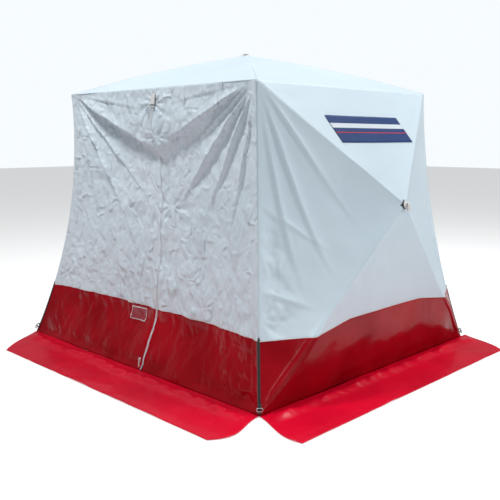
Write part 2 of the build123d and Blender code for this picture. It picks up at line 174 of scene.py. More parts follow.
class Finish:
    """A material under construction."""

    def __init__(self, name, **fixed):
        self.slot = name
        self.material = bpy.data.materials.new(name)
        self.material.use_nodes = True
        self.tree = self.material.node_tree
        self.surface = self.tree.nodes["Principled BSDF"]
        for socket, value in fixed.items():
            self.surface.inputs[socket.replace("_", " ")].default_value = value

    def node(self, kind, settings, inputs, output=0):
        made = self.tree.nodes.new(kind)
        stops = settings.pop("stops", None)
        for key, value in settings.items():
            setattr(made, key, value)
        if stops:
            ramp = made.color_ramp
            while len(ramp.elements) < len(stops):
                ramp.elements.new(1.0)
            for element, (place, colour) in zip(ramp.elements, stops):
                element.position, element.color = place, colour
        for key, value in inputs.items():
            if isinstance(value, Wire):
                self.tree.links.new(value.socket, made.inputs[key])
            else:
                made.inputs[key].default_value = value
        return Wire(self, made.outputs[output])

    def feed(self, socket, wire):
        self.tree.links.new(wire.socket, self.surface.inputs[socket])

    def place(self, scale=(1, 1, 1), turn=(0, 0, 0)):
        """The point on the piece, in metres, scaled and turned."""
        point = self.node("ShaderNodeTexCoord", {}, {}, "Object")
        return self.node(
            "ShaderNodeMapping", {}, {"Vector": point, "Scale": scale, "Rotation": turn}
        )

    def grain(self, scale, detail=3.0, rough=0.5, warp=0.0, kind="FBM", where=None):
        """Noise from 0 to 1 at a number of cells per metre."""
        inputs = {"Scale": scale, "Detail": detail, "Roughness": rough, "Distortion": warp}
        inputs["Vector"] = where or self.place()
        return self.node("ShaderNodeTexNoise", {"noise_type": kind}, inputs)

    def ramp(self, wire, low, high):
        """A wire brought from the range low..high to 0..1."""
        return self.node("ShaderNodeMapRange", {}, {0: wire, 1: low, 2: high, 3: 0.0, 4: 1.0})

    def mix(self, factor, first, second):
        made = self.node(
            "ShaderNodeMix", {"data_type": "RGBA"}, {0: factor, 6: first, 7: second}, 2
        )
        return made

    def tint(self, cells, dark, light):
        """Base colour that drifts between two shades."""
        self.feed("Base Color", self.mix(self.grain(cells), dark, light))

    def polish(self, base, spread, cells):
        """Roughness that varies over the surface."""
        self.feed("Roughness", base + spread * self.grain(cells))

    def bump(self, height, distance, strength=1.0, below=None):
        inputs = {"Height": height, "Distance": distance, "Strength": strength}
        if below:
            inputs["Normal"] = below
        return self.node("ShaderNodeBump", {}, inputs)


def rgba(red, green, blue):
    return (red, green, blue, 1.0)


# ---------------------------------------------------------------- how a sewn panel is made
# A panel is a grid of cloth laid over its taut shape, then pushed out by the depth
# of its folds along the one way that the whole panel faces.
def add_piece(name, mesh, finish):
    """Turn a bmesh into a finished piece with one material."""
    data = bpy.data.meshes.new(name)
    mesh.to_mesh(data)
    mesh.free()
    data.materials.append(finish.material)
    for polygon in data.polygons:
        polygon.use_smooth = True
    piece = bpy.data.objects.new(name, data)
    scene.collection.objects.link(piece)
    return piece


def panel(name, shape, across, down, finish, folds, facing, thick=0.0012):
    """A sheet whose point at (u, v), both from 0 to 1, is shape(u, v), pushed out by its
    folds along the way that it faces."""
    mesh = bmesh.new()
    bmesh.ops.create_grid(mesh, x_segments=across, y_segments=down, size=0.5)
    spots = {}
    for vert in mesh.verts:
        vert.co, *spots[vert] = shape(vert.co.x + 0.5, vert.co.y + 0.5)
    mesh.normal_update()
    whole = sum((face.normal * face.calc_area() for face in mesh.faces), Vector())
    if whole.dot(facing) < 0:
        bmesh.ops.reverse_faces(mesh, faces=mesh.faces)
    if folds:
        for vert, spot in spots.items():
            vert.co += facing * folds(*spot, vert.co)
    bmesh.ops.remove_doubles(mesh, verts=mesh.verts, dist=0.0002)
    piece = add_piece(name, mesh, finish)
    if thick:
        shell = piece.modifiers.new("thickness", "SOLIDIFY")
        shell.thickness = thick
        shell.offset = -1
    return piece


def declare_sheet(outline, along):
    """Work out the flat size of a panel's cut, which is the outline between its taut corner
    points. The size is not kept. The folded mesh plays no part in it. The rectangle has a
    side along `along`."""
    loop = zip(outline, outline[1:] + outline[:1])
    vector_area = sum((one.cross(two) for one, two in loop), Vector((0, 0, 0))) / 2
    across = vector_area.cross(along).normalized()
    upwards = across.cross(vector_area).normalized()
    spans = [[point.dot(way) for point in outline] for way in (across, upwards)]
    flat = tuple(max(span) - min(span) for span in spans)


def seam_run(corner, top, bottom):
    """Points down a corner seam between two heights."""
    return [corner_seam(corner, top + (bottom - top) * step / 8) for step in range(9)]


def ripple(point, scale, seed):
    """Smooth wandering value from about -1 to 1."""
    return noise.noise(point * scale + Vector((seed, seed * 1.7, seed * 0.6)))


def smooth(low, high, value):
    """Smooth step from 0 at low to 1 at high."""
    t = min(1.0, max(0.0, (value - low) / (high - low)))
    return t * t * (3 - 2 * t)


def ray_fold(start, end, height, soft, drop):
    """Relief of one straight fold on a flat wall, at a 2-D spot. The cloth swells towards
    the fold from above and drops away sharply below it."""
    start, end = Vector(start), Vector(end)
    length = (end - start).length
    run = (end - start) / length

    def relief(spot):
        way = spot - start
        along = way.dot(run) / length
        across = run.x * way.y - run.y * way.x
        below = across if run.x < 0 else -across
        fan = 0.3 + 0.6 * min(1.2, max(0.0, along))
        lip = exp(min(0.0, below + drop * fan) / (soft * fan))
        fall = smooth(-drop * fan, drop * fan * 0.3, below)
        hollow = 0.35 * fall * exp(-max(0.0, below) / (soft * fan))
        strength = smooth(0.0, 0.3, along) * (1 - smooth(0.40, 1.15, along))
        return height * strength * (lip * (1 - fall) - hollow)

    return relief


def star(centre, height, reach, points):
    """Relief of creases that run out of one point."""
    centre = Vector(centre)

    def relief(spot):
        way = spot - centre
        away = way.length
        turn = atan2(way.y, way.x)
        wave = abs(sin(turn * points / 2 + 1.5 * noise.noise(Vector((away * 6, turn, 3)))))
        return height * (wave - 0.5) * smooth(0.0, 0.05, away) * exp(-away / reach)

    return relief


# ---------------------------------------------------------------- roof canopy
# Four taut gores of coated polyester, sewn along the diagonals to a point under
# the roof hub's cap. The popped walls are of the same taut cloth.
taut = Finish("taut_cloth", Sheen_Weight=0.12, Sheen_Roughness=0.5, Specular_IOR_Level=0.45)
stain = taut.grain(1.3, 4.0)
tone = taut.mix(taut.ramp(stain, 0.35, 0.65), rgba(0.60, 0.72, 0.80), rgba(0.645, 0.765, 0.84))
taut.feed("Base Color", tone)
taut.polish(0.38, 0.14, 30.0)
crease = taut.grain(14.0, 5.0, 0.55, 0.5)
weave = taut.grain(900.0, 1.0)
taut.feed("Normal", taut.bump(weave, 0.0002, 0.25, taut.bump(crease, 0.004, 0.35)))

peak = Vector((0, 0, eave_z + roof_rise))
hub_hole = 0.026
corners = [(1, -1), (1, 1), (-1, 1), (-1, -1)]


def ruled(edge, tip, low=None, high=None):
    """Ruled sheet from an outline curve edge(u) towards a tip, between two shares."""

    def shape(u, v):
        rim = edge(u)
        first = low(u) if low else 0.0
        last = high(u) if high else 1 - hub_hole / (tip - rim).length
        share = first + (last - first) * v
        return rim.lerp(tip, share), u, share

    return shape


def blend_gore(piece, foot, tip):
    """Bake the piece's placing into its mesh; the cloth is not moved to follow the hub."""
    foot + (tip - foot) * 0.08
    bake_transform(piece)


for index in range(4):
    first = corner_seam(corners[index], eave_z)
    second = corner_seam(corners[(index + 1) % 4], eave_z)

    def roof_folds(u, share, point):
        arch = 0.020 * sin(pi * min(1, share * 1.05))
        valley = -0.012 * sin(pi * u) * sin(pi * share)
        return arch + valley + 0.003 * ripple(point, 5.0, 2.0) * sin(pi * share)

    gore = panel(
        f"roof_gore_{index + 1}",
        ruled(lambda u: first.lerp(second, u), peak),
        50,
        50,
        taut,
        roof_folds,
        Vector((0, 0, 1)),
    )
    foot = (first + second) / 2
    blend_gore(gore, foot, peak)
    declare_sheet([first, second, peak], peak - foot)
    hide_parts("roof_canopy")

# ---------------------------------------------------------------- hub walls
# Each popped wall has a top gore, two side gores that run down the corner seams
# and a bottom gore; the lowest part of each is the vinyl skirt. Folds depend on
# the place on the wall alone, so that neighbouring pieces meet all along a crease.
def vinyl(name, dark, light, gloss):
    """Coated vinyl: saturated, wet-looking, with soft dents."""
    made = Finish(name, Specular_IOR_Level=0.14, Coat_Roughness=0.10)
    cloud = made.grain(3.0, 4.0)
    scuff = made.grain(60.0, 5.0, 0.65)
    colour = made.mix(made.ramp(cloud, 0.3, 0.7), dark, light)
    made.feed("Base Color", colour)
    made.feed("Roughness", gloss + 0.18 * scuff)
    made.feed("Coat Weight", 0.04 + 0.20 * cloud)
    dent = made.grain(6.5, 4.0, 0.5, 0.6)
    ripple = made.grain(28.0, 4.0, 0.55, 0.3)
    base = made.bump(dent, 0.012, 0.5)
    made.feed("Normal", made.bump(ripple, 0.003, 0.4, base))
    return made


skirt_vinyl = vinyl("crimson_vinyl", rgba(0.26, 0.000, 0.005), rgba(0.40, 0.001, 0.009), 0.12)

pale_piping = Finish("piping", Specular_IOR_Level=0.4)
pale_piping.tint(40.0, rgba(0.62, 0.55, 0.56), rgba(0.78, 0.74, 0.74))
pale_piping.polish(0.45, 0.2, 90.0)

# The banner is dark cloth with a pale stripe and a thin red line.
banner_blue = Finish("blue_banner", Specular_IOR_Level=0.4)
inked = banner_blue.mix(banner_blue.grain(6.0), rgba(0.008, 0.035, 0.14), rgba(0.014, 0.05, 0.19))
level = banner_blue.node("ShaderNodeSeparateXYZ", {}, {"Vector": banner_blue.place()}, 2)
stripe = banner_blue.ramp(level, 1.472, 1.474) - banner_blue.ramp(level, 1.498, 1.500)
line = banner_blue.ramp(level, 1.444, 1.445) - banner_blue.ramp(level, 1.449, 1.450)
marked = banner_blue.mix(stripe, inked, rgba(0.66, 0.72, 0.78))
banner_blue.feed("Base Color", banner_blue.mix(line, marked, rgba(0.50, 0.02, 0.03)))
banner_blue.polish(0.4, 0.2, 80.0)

hub_walls = {
    "right": (0, 1, (1, -1), (1, 1)),
    "back": (1, 1, (1, 1), (-1, 1)),
    "left": (0, -1, (-1, 1), (-1, -1)),
}
wall_creases = {
    "right": [
        ray_fold((-0.82, 1.71), (-0.34, 0.98), 0.016, 0.04, 0.018),
        ray_fold((-0.82, 1.71), (-0.52, 0.72), 0.020, 0.04, 0.018),
        ray_fold((-0.82, 1.71), (-0.68, 0.62), 0.015, 0.04, 0.018),
        ray_fold((-0.90, 1.10), (-0.50, 0.80), 0.011, 0.03, 0.014),
        ray_fold((-0.93, 0.62), (-0.66, 0.50), 0.014, 0.03, 0.014),
        star((-0.93, 0.47), 0.026, 0.10, 9),
        star((-0.93, 0.72), 0.016, 0.08, 7),
        ray_fold((0.82, 1.71), (0.60, 0.70), 0.007, 0.05, 0.018),
    ],
    "back": [
        ray_fold((0.90, 1.71), (0.45, 0.85), 0.012, 0.05, 0.020),
        ray_fold((-0.90, 1.71), (-0.62, 0.70), 0.012, 0.05, 0.020),
        star((0.98, 0.50), 0.012, 0.09, 8),
    ],
    "left": [
        ray_fold((0.82, 1.71), (0.40, 0.90), 0.012, 0.05, 0.020),
        ray_fold((-0.82, 1.71), (-0.58, 0.66), 0.014, 0.05, 0.020),
        star((-0.93, 0.55), 0.012, 0.10, 9),
    ],
}


def band_height(u):
    """Height of the joint of cloth and skirt along the bottom gore."""
    return band_corner + (band_middle - band_corner) * min(1.0, 1.6 * sin(pi * u))


def share_at(rim, tip, z):
    """Share of the way from rim to tip where the height is z, or 0 from a rim above it."""
    return 0.0 if rim.z >= z else (z - rim.z) / (tip.z - rim.z)


def joint_piping(name, shape, folds, facing):
    """A thin pale cord sewn in the joint along the top of a skirt panel."""

    def tube(u, v):
        point, across, share = shape(u, 1.0)
        turn = 2 * pi * v
        rise = Vector((0, 0, cos(turn)))
        return point + (facing * sin(turn) + rise) * 0.0022, across, share

    return panel(name, tube, 110, 8, pale_piping, folds, facing, 0)


for name, (axis, sign, first_side, last_side) in hub_walls.items():
    hub, normal = wall_hub(axis, sign)
    tops = [corner_seam(side, eave_z) for side in (first_side, last_side)]
    feet = [corner_seam(side, 0.0) for side in (first_side, last_side)]
    feet = [Vector((foot.x, foot.y, cloth_foot)) for foot in feet]
    other = 1 - axis
    wall_node = f"{name}_wall"

    def wall_folds(u, share, point):
        level = min(eave_z, max(0.0, point.z))
        ends = [corner_seam(side, level)[other] for side in (first_side, last_side)]
        spot = Vector((point[other], point.z))
        inside = min(abs(spot.x - end) for end in ends)
        keep = smooth(0.0, 0.09, inside) * smooth(0.0, 0.12, eave_z - spot.y)
        keep *= smooth(0.03, 0.15, (spot - Vector((0, hub.z))).length) * smooth(0, 0.05, spot.y)
        hollow = -0.016 * sin(pi * u) * sin(pi * share)
        belly = 0.022 * sin(pi * min(1.0, point.z / 0.40)) * smooth(0.0, 0.35, inside)
        relief = sum(fold(spot) for fold in wall_creases[name])
        # Taut lines that run up from the feet towards the hub.
        for foot in feet:
            line = Vector((-foot[other], hub.z)).normalized()
            way = spot - Vector((foot[other], 0))
            off = line.x * way.y - line.y * way.x
            reach = way.dot(line)
            pull = smooth(0.02, 0.12, reach) * (1 - smooth(0.35, 0.75, reach))
            ridge = exp(-(((off + 0.012) / 0.007) ** 2)) + exp(-(((off - 0.013) / 0.008) ** 2))
            relief += 0.012 * pull * ridge
        corner = (1 - smooth(0.05, 0.24, inside)) * smooth(1.15, 0.80, spot.y)
        corner = corner * smooth(0.36, 0.44, spot.y)
        rumple = noise.turbulence(Vector((spot.x * 9, spot.y * 6, 2.0)), 3, True) - 0.75
        relief += 0.032 * corner * rumple
        soft = 0.004 * ripple(point, 3.5, 3.0) + 0.0025 * ripple(point, 9.0, 5.0)
        if point.z < 0.38:
            soft += 0.008 * ripple(point, 6.0, 9.0) * smooth(0.38, 0.25, point.z)
        return keep * (relief + soft + belly) + hollow

    def finish_gore(piece, foot, outline, node):
        blend_gore(piece, foot, hub)
        declare_sheet(outline, hub - foot)
        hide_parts(node)

    top_foot = (tops[0] + tops[1]) / 2
    top = panel(f"{name}_top_gore", ruled(lambda u: tops[0].lerp(tops[1], u), hub), 80, 60, taut,
                wall_folds, normal)
    finish_gore(top, top_foot, [*tops, hub], wall_node)

    for end, side, tag in ((0, first_side, "first"), (1, last_side, "last")):

        def side_edge(u):
            point = corner_seam(side, eave_z * (1 - u))
            return point if point.z > cloth_foot else feet[end]

        def side_low(u):
            return share_at(side_edge(u), hub, band_corner)

        seam_way = (tops[end] - feet[end]).normalized()
        side_foot = feet[end] + seam_way * (hub - feet[end]).dot(seam_way)
        gore = panel(f"{name}_{tag}_gore", ruled(side_edge, hub, side_low), 150, 80, taut,
                     wall_folds, normal)
        joint_end = feet[end].lerp(hub, share_at(feet[end], hub, band_corner))
        gore_cut = [*seam_run(side, eave_z, band_corner), joint_end, hub]
        finish_gore(gore, side_foot, gore_cut, wall_node)

        skirt_share = band_corner / eave_z
        low_edge = lambda u: side_edge(1 - u * skirt_share)
        low_top = lambda u: share_at(low_edge(u), hub, band_corner)
        low_shape = ruled(low_edge, hub, lambda u: 0.0, low_top)

        def skirt_shape(u, v):
            point, across, share = low_shape(u, v)
            return point, 1 - across * skirt_share, share

        skirt = panel(f"{name}_{tag}_skirt", skirt_shape, 36, 40, skirt_vinyl,
                      wall_folds, normal)
        skirt_cut = [*seam_run(side, band_corner, cloth_foot), joint_end]
        finish_gore(skirt, side_foot, skirt_cut, "wall_skirts")
        cord = joint_piping(f"{name}_{tag}_piping", skirt_shape, wall_folds, normal)
        blend_gore(cord, side_foot, hub)

    bottom_foot = (feet[0] + feet[1]) / 2
    bottom_edge = lambda u: feet[0].lerp(feet[1], u)
    bottom_low = lambda u: share_at(bottom_edge(u), hub, band_height(u))
    bottom = panel(f"{name}_bottom_gore", ruled(bottom_edge, hub, bottom_low), 80, 60, taut,
                   wall_folds, normal)
    joint_line = [bottom_edge(i / 16).lerp(hub, bottom_low(i / 16)) for i in range(17)]
    finish_gore(bottom, bottom_foot, [*joint_line, hub], wall_node)
    low_shape = ruled(bottom_edge, hub, lambda u: 0.0, bottom_low)
    skirt = panel(f"{name}_bottom_skirt", low_shape, 190, 34, skirt_vinyl,
                  wall_folds, normal)
    finish_gore(skirt, bottom_foot, [feet[1], feet[0], *joint_line], "wall_skirts")
    cord = joint_piping(f"{name}_bottom_piping", low_shape, wall_folds, normal)
    blend_gore(cord, bottom_foot, hub)

    if name == "right":
        # Plain banner, sewn on the top gore.
        def banner_shape(u, v):
            y = (-0.379 + 0.717 * u) * (1 - v) + (-0.321 + 0.711 * u) * v
            z = 1.543 - 0.152 * v
            share = (eave_z - z) / (eave_z - hub.z)
            across = (y / (1 - share) + eave_y) / (2 * eave_y)
            point = tops[0].lerp(tops[1], across).lerp(hub, share)
            return point + normal * 0.0035, across, share

        banner = panel("banner", banner_shape, 60, 16, banner_blue, wall_folds,
                       normal, 0.0008)
        blend_gore(banner, top_foot, hub)
        banner_corners = [banner_shape(u, v)[0] for u, v in ((0, 0), (1, 0), (1, 1), (0, 1))]
        declare_sheet(banner_corners, Vector((0, 0, 1)))
        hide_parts("wall_banner")

# ---------------------------------------------------------------- rods
# Four thin straight rods run inside the cloth from every hub to the corners, and a
# steel sleeve holds each one in the hub's jaw.
steel = Finish("steel", Metallic=1.0)
steel.tint(50.0, rgba(0.45, 0.45, 0.46), rgba(0.66, 0.66, 0.67))
steel.polish(0.24, 0.25, 150.0)

glass_rod = Finish("fibreglass", Specular_IOR_Level=0.5)
glass_rod.tint(35.0, rgba(0.012, 0.013, 0.015), rgba(0.04, 0.042, 0.046))
glass_rod.polish(0.25, 0.25, 200.0)


def far_end(points, origin, farthest):
    """Centre of the end of a rod that is farthest from, or nearest to, a point."""
    reach = [(point - origin).length for point in points]
    mark = max(reach) if farthest else min(reach)
    ends = [point for point, away in zip(points, reach) if abs(away - mark) < 0.012]
    return sum(ends, Vector()) / len(ends)


def rod_tube(name, start, end, radius, rows, finish):
    """A round rod from start to end."""
    run = (end - start).normalized()
    side = run.cross(Vector((0, 0, 1))).normalized()
    rise = side.cross(run)

    def round_rod(u, v):
        turn = 2 * pi * v
        return start.lerp(end, u) + (side * cos(turn) + rise * sin(turn)) * radius, u, v

    return panel(name, round_rod, rows, 12, finish, None, rise, 0)


for name in ("right", "back", "left", "roof"):
    hub = peak if name == "roof" else wall_hub(*hub_walls[name][:2])[0]
    for number in range(1, 5):
        node = nodes[f"{name}_rod_{number}"]
        points = [node.matrix_world @ vert.co for vert in node.data.vertices]
        near, far = far_end(points, hub, False), far_end(points, hub, True)
        rod = rod_tube(f"{name}_rod_tube_{number}", near, far, 0.0055, 40, glass_rod)
        if name == "roof":
            foot = Vector((0, far.y / abs(far.y) * eave_y, eave_z))
        else:
            axis, sign = hub_walls[name][:2]
            top = far.z > 1.0
            foot = Vector((0, 0, eave_z if top else cloth_foot))
            foot[axis] = sign * ((eave_x, eave_y) if top else (base_x, base_y))[axis]
        blend_gore(rod, foot, hub)
        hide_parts(f"{name}_rod_{number}")
        sleeve = rod_tube(f"{name}_rod_sleeve_{number}", near, near.lerp(far, 0.022), 0.0068, 4,
                          steel)
        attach(sleeve, f"{name}_rod_{number}")

# ---------------------------------------------------------------- door curtain
# One slack curtain, hung from the eave and sewn to the two corner seams, cut
# down the middle by the zip. Two big folds fall from the top corners and meet at
# the zip, and below them the cloth hangs inwards. It is a dull bluish white, with
# a soft sheen and a fine dry crinkle from having been packed away folded.
cloth = Finish("light_cloth", Sheen_Weight=0.15, Sheen_Roughness=0.5, Specular_IOR_Level=0.4)
stain = cloth.grain(1.7, 4.0)
fleck = cloth.grain(26.0, 5.0, 0.6)
tone = cloth.mix(cloth.ramp(stain, 0.35, 0.65), rgba(0.60, 0.69, 0.755), rgba(0.68, 0.765, 0.83))
tone = cloth.mix(cloth.ramp(fleck, 0.3, 0.75) * 0.35, tone, rgba(0.52, 0.60, 0.66))
cloth.feed("Base Color", tone)
cloth.feed("Roughness", 0.42 + 0.16 * fleck)
crinkle = cloth.grain(13.0, 6.0, 0.62, 0.8, "RIDGED_MULTIFRACTAL")
falling = cloth.grain(24.0, 5.0, 0.6, 0.5, "RIDGED_MULTIFRACTAL",
                      cloth.place((1, 1, 0.35), (0, 0.45, 0)))
crossing = cloth.grain(19.0, 5.0, 0.6, 0.5, "RIDGED_MULTIFRACTAL",
                       cloth.place((1, 1, 0.35), (0, -0.75, 0)))
weave = cloth.grain(900.0, 1.0)
folded = cloth.bump(crinkle, 0.022, 0.8)
folded = cloth.bump(falling + crossing, 0.012, 0.85, folded)
cloth.feed("Normal", cloth.bump(weave, 0.0002, 0.25, folded))

zip_coil = Finish("zip_chain")
zip_coil.tint(300.0, rgba(0.60, 0.65, 0.69), rgba(0.80, 0.84, 0.87))
zip_coil.polish(0.4, 0.2, 200.0)

pocket_film = Finish("clear_pocket", Specular_IOR_Level=0.6)
pocket_film.tint(30.0, rgba(0.26, 0.012, 0.025), rgba(0.38, 0.05, 0.07))
pocket_film.polish(0.15, 0.2, 60.0)


def webbing_finish(name, dark, light):
    """Woven webbing: fine ribs across the strap and a slightly fuzzy surface."""
    made = Finish(name, Sheen_Weight=0.3)
    rib = made.node("ShaderNodeTexWave", {"wave_type": "BANDS", "bands_direction": "Z"},
                    {"Vector": made.place(), "Scale": 130.0, "Distortion": 1.0, "Detail": 2.0})
    fuzz = made.grain(300.0, 3.0)
    made.feed("Base Color", made.mix(rib * 0.5 + fuzz * 0.4, dark, light))
    made.feed("Roughness", 0.7 + 0.2 * fuzz)
    made.feed("Normal", made.bump(rib, 0.0006, 0.5, made.bump(fuzz, 0.0004, 0.4)))
    return made


white_webbing = webbing_finish("white_webbing", rgba(0.55, 0.55, 0.54), rgba(0.80, 0.80, 0.79))

zip_top_x, zip_foot_x = 0.030, 0.130
fold_foot = 0.090
door_out = Vector((0, -1, 0))
meet_z = 1.33
far_top, near_top = Vector((-eave_x, eave_z)), Vector((eave_x, eave_z))
door_creases = [
    ray_fold(far_top, (0.12, 1.28), 0.050, 0.09, 0.024),
    ray_fold(far_top, (-0.20, 0.72), 0.042, 0.06, 0.022),
    ray_fold(far_top, (-0.06, 0.98), 0.022, 0.04, 0.016),
    ray_fold(far_top, (-0.52, 0.60), 0.018, 0.05, 0.020),
    ray_fold(near_top, (0.10, 1.36), 0.034, 0.07, 0.024),
    ray_fold(near_top, (0.36, 1.36), 0.024, 0.04, 0.018),
    ray_fold(near_top, (0.20, 0.98), 0.034, 0.07, 0.030),
    ray_fold(near_top, (0.48, 0.95), 0.026, 0.05, 0.024),
    ray_fold(near_top, (0.70, 0.78), 0.017, 0.04, 0.020),
    ray_fold(near_top, (0.10, 1.60), 0.008, 0.04, 0.014),
    ray_fold(far_top, (-0.05, 1.58), 0.010, 0.04, 0.014),
    star((0.035, 1.63), 0.024, 0.13, 11),
    star((-0.93, 0.46), 0.022, 0.09, 7),
    star((0.16, 1.00), 0.018, 0.16, 9),
    star((0.08, 1.42), 0.018, 0.14, 8),
]


def door_plane_y(z):
    """Y of the taut door plane at height z."""
    return -(base_y + (eave_y - base_y) * z / eave_z)


def hang(spot, middle_share):
    """How far the door hangs inwards of the taut plane at a spot of it."""
    top = near_top if spot.x > 0.08 else far_top
    line = (Vector((0.08, meet_z)) - top).normalized()
    way = spot - top
    below = abs(line.x) * -way.y - abs(line.y) * abs(way.x)
    step = 0.3 * smooth(-0.14, 0.02, below) + 0.45 * smooth(-0.02, 0.06, below)
    step += 0.25 * smooth(0.0, 0.35, below)
    return 0.102 * step * sin(0.5 * pi * middle_share) ** 1.2 * smooth(0.03, 0.34, spot.y)


def zip_x(z):
    """X of the zip line at height z."""
    return zip_top_x + (zip_foot_x - zip_top_x) * (1 - z / eave_z)


def zip_point(z):
    """Point of the zip line at height z."""
    x = zip_x(z)
    return Vector((x, door_plane_y(z) + hang(Vector((x, z)), 1.0), z))


def taut_middle(z):
    """Point of the zip line at height z, were the door pulled taut."""
    return Vector((zip_x(z), door_plane_y(z), z))


def door_point(u, z):
    """Point of the door at height z. u runs from the far seam to the near one."""
    far, near = corner_seam((-1, -1), z), corner_seam((1, -1), z)
    middle = taut_middle(z)
    point = far.lerp(middle, u * 2) if u < 0.5 else middle.lerp(near, u * 2 - 1)
    middle_share = 1 - abs(2 * u - 1)
    point.y += hang(Vector((point.x, z)), middle_share)
    return point


def door_folds(u, share, point):
    spot = Vector((point.x, point.z))
    middle_share = 1 - abs(2 * u - 1)
    keep = smooth(0.0, 0.10, middle_share) * smooth(0.0, 0.07, eave_z - spot.y)
    keep *= smooth(0.0, 0.05, spot.y)
    relief = sum(fold(spot) for fold in door_creases)
    rumple = noise.turbulence(Vector((spot.x * 3.2, spot.y * 2.2, 4.0)), 3, True) - 0.75
    crinkle = noise.turbulence(Vector((spot.x * 11 + spot.y * 4, spot.y * 7, 1.0)), 4, True) - 0.75
    low = smooth(1.45, 0.8, spot.y)
    fall = sin(spot.x * 17 + 3 * ripple(Vector((spot.x, spot.y * 0.4, 0)), 2.0, 7.0))
    relief += rumple * (0.014 + 0.020 * low) + crinkle * 0.011
    if spot.y > band_corner:
        relief += 0.006 * fall * low * smooth(band_corner, 0.7, spot.y)
    return keep * relief


def blend_door(piece, side):
    """Bake the half's placing into its mesh. The line from the top of the zip to the
    corner's foot is worked out, but the half is not folded about it.
    """
    head = Vector((zip_top_x, door_plane_y(eave_z), eave_z))
    foot = Vector((side * (base_x - fold_foot), door_plane_y(0), 0))
    line = (foot - head).normalized()
    middle = (head + foot) / 2
    zip_foot = Vector((zip_foot_x, door_plane_y(0), 0))
    inwards = (zip_foot - middle) - line * (zip_foot - middle).dot(line)
    inwards.normalize()
    body = "door_right" if side > 0 else "door_left"
    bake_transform(piece)


for side, tag in ((1, "right"), (-1, "left")):

    def half(u):
        return 0.5 + 0.5 * side * u

    def curtain_shape(u, v):
        z = eave_z + (band_corner - eave_z) * v
        return door_point(half(u), z), half(u), v

    curtain = panel(f"door_curtain_{tag}", curtain_shape, 130, 180, cloth,
                    door_folds, door_out)
    blend_door(curtain, side)
    cut = seam_run((side, -1), eave_z, band_corner)
    cut += [taut_middle(band_corner), taut_middle(eave_z)]
    declare_sheet(cut, Vector((0, 0, 1)))
    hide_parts(f"door_side_{tag}", f"door_flap_{tag}")

    def skirt_shape(u, v):
        z = cloth_foot + (band_corner - cloth_foot) * (1 - v)
        return door_point(half(u), z), half(u), v

    skirt = panel(f"door_skirt_{tag}_piece", skirt_shape, 130, 44, skirt_vinyl,
                  door_folds, door_out)
    joint = lambda u, v: skirt_shape(u, 0.0)
    cord = joint_piping(f"door_{tag}_piping", joint, door_folds, door_out)
    blend_door(cord, side)
    blend_door(skirt, side)
    cut = seam_run((side, -1), band_corner, cloth_foot)
    cut += [taut_middle(cloth_foot), taut_middle(band_corner)]
    declare_sheet(cut, Vector((0, 0, 1)))
    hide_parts(f"door_skirt_{tag}", "wall_skirts")

    # The zip's coil follows the cloth's edge, and shows white against the skirt.
    def chain_shape(u, v):
        z = 0.012 + (1.690 - 0.012) * u
        point = zip_point(z)
        turn = 2 * pi * v
        point += Vector((side * (0.0035 + 0.0028 * cos(turn)), -0.0016 - 0.0018 * sin(turn), 0))
        return point, 0.5, v

    chain = panel(f"zip_coil_{tag}", chain_shape, 240, 8, zip_coil, door_folds,
                  door_out, 0)
    blend_door(chain, side)
    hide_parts(f"zip_chain_{tag}")

# Clear-faced pocket with a pale border, and a small tab beside it.
for part, grow, lift, finish, slot in (
    ("border", 0.0, 0.0022, pale_piping, "clear_pocket"),
    ("film", 0.006, 0.0034, pocket_film, "clear_pocket"),
):

    def pocket_shape(u, v):
        z = 0.342 - grow + (0.262 + 2 * grow - 0.342) * v
        middle = zip_point(z).x
        x = middle - 0.270 + grow + (0.150 - 2 * grow) * u
        far = corner_seam((-1, -1), z).x
        across = 0.5 * (x - far) / (middle - far)
        return door_point(across, z) - Vector((0, lift, 0)), across, v

    pocket = panel(f"pocket_{part}", pocket_shape, 30, 18, finish, door_folds, door_out,
                   0.0006)
    blend_door(pocket, -1)
    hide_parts("door_pocket")


def tab_shape(u, v):
    z = 0.378 - 0.022 * v
    middle = zip_point(z).x
    x = middle - 0.315 + 0.055 * u
    far = corner_seam((-1, -1), z).x
    across = 0.5 * (x - far) / (middle - far)
    return door_point(across, z) - Vector((0, 0.004, 0)), across, v


tab = panel("pocket_tab", tab_shape, 12, 6, white_webbing, door_folds,
            door_out, 0.0012)
blend_door(tab, -1)

# ---------------------------------------------------------------- ground flaps
# Four strips of heavier vinyl, sewn to the foot of each wall and spread on the ground,
# puckered where they turn out from under the wall.
flap_vinyl = vinyl("flap_vinyl", rgba(0.62, 0.001, 0.022), rgba(0.76, 0.002, 0.028), 0.26)

